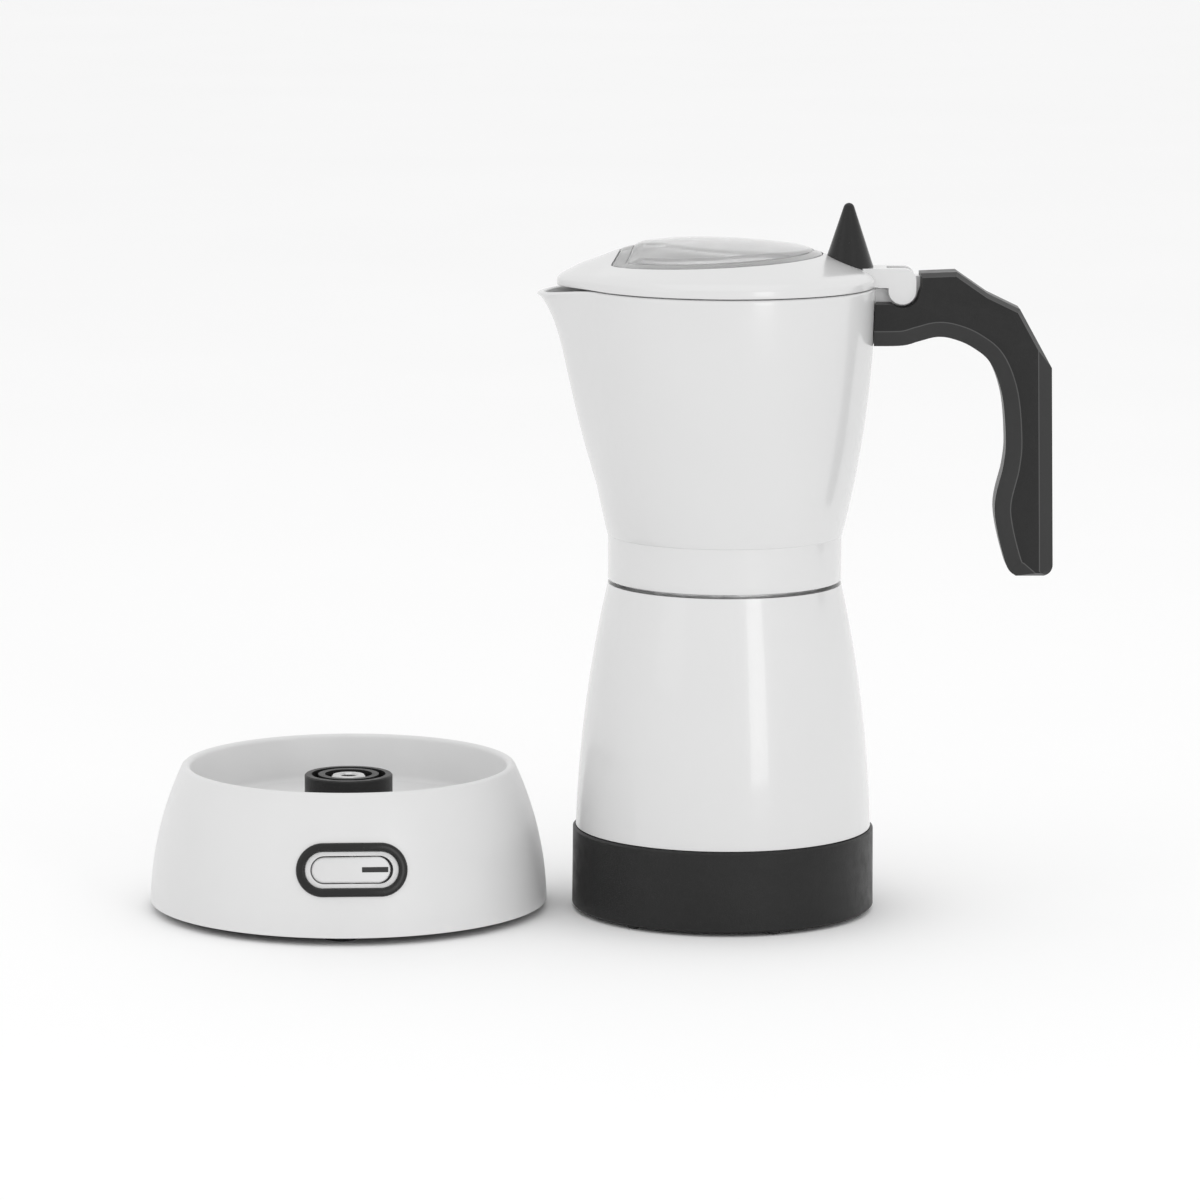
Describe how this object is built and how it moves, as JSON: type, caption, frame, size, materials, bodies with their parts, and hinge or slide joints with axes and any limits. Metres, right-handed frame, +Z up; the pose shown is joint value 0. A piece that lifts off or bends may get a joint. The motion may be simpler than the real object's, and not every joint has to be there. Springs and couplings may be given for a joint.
{
  "type": "electric moka pot",
  "caption": "Electric moka pot with hinged lid, screw-on jug and heater base, standing beside its round cordless power stand with rocker switch and ring connector.",
  "frame": {"origin": "on the table, at the middle of the box round the pot and its stand", "axes": "+Z up, +X from the stand towards the pot's handle, the switch faces -Y"},
  "size_m": [0.284, 0.1256, 0.2235],
  "materials": {
    "white_paint": "gloss",
    "white_plastic": "satin",
    "black_plastic": "satin",
    "clear_plastic": "polished",
    "steel": "satin",
    "brass": "satin",
    "aluminium": "satin",
    "rubber": "matte",
    "silicone": "matte"
  },
  "bodies": {
    "stand": {"stand_shell": "white_plastic", "stand_base": "black_plastic", "stand_feet": "rubber", "stand_screws": "steel", "stand_connector": "black_plastic", "connector_screws": "steel", "live_contact": "brass", "neutral_contact": "brass", "earth_sleeve": "steel", "switch_bezel": "black_plastic", "switch_case": "white_plastic", "cord_gland": "rubber"},
    "rocker": {"switch_rocker": "white_plastic"},
    "pot": {"heater_housing": "black_plastic", "housing_studs": "rubber", "housing_screws": "steel", "pot_socket": "black_plastic", "socket_screws": "steel", "socket_contacts": "brass", "heating_element": "steel", "thermostat": "steel", "boiler": "white_paint", "valve_body": "brass", "valve_cap": "brass", "valve_spring": "steel", "filter_funnel": "aluminium"},
    "stem": {"valve_stem": "steel"},
    "seal": {"gasket": "silicone", "filter_plate": "steel"},
    "jug": {"jug": "white_paint", "column": "aluminium", "handle": "black_plastic", "handle_screw": "steel", "hinge_pin": "steel"},
    "lid": {"lid": "white_paint", "lid_window": "clear_plastic", "lid_knob": "black_plastic", "knob_screw": "steel"}
  },
  "joints": [
    {"name": "rocker_tilt", "type": "hinge", "parent": "stand", "child": "rocker", "pos_m": [-0.07585, -0.05567, 0.0225], "axis": [-0.0135, 0.2213, 0.9751], "range_deg": [0, 14]},
    {"name": "pot_lift", "type": "slide", "parent": "stand", "child": "pot", "axis": [0, 0, 1], "range_m": [0, 0.12]},
    {"name": "valve_relief", "type": "slide", "parent": "pot", "child": "stem", "axis": [0, 1, 0], "range_m": [0, 0.0015], "stiffness_N_per_m": 1500, "springref_m": -0.002, "deforming": ["valve_spring"]},
    {"name": "jug_rise", "type": "slide", "parent": "pot", "child": "seal", "axis": [0, 0, 1], "range_m": [0, 0.0045]},
    {"name": "jug_turn", "type": "hinge", "parent": "seal", "child": "jug", "pos_m": [0.03925, 0, 0.112], "axis": [0, 0, 1], "range_deg": [0, 540]},
    {"name": "lid_open", "type": "hinge", "parent": "jug", "child": "lid", "pos_m": [0.09385, 0, 0.1989], "axis": [0, 1, 0], "range_deg": [0, 95]}
  ],
  "couplings": [
    {"joint": "jug_rise", "follows": "jug_turn", "m_per_rad": 0.000477}
  ]
}
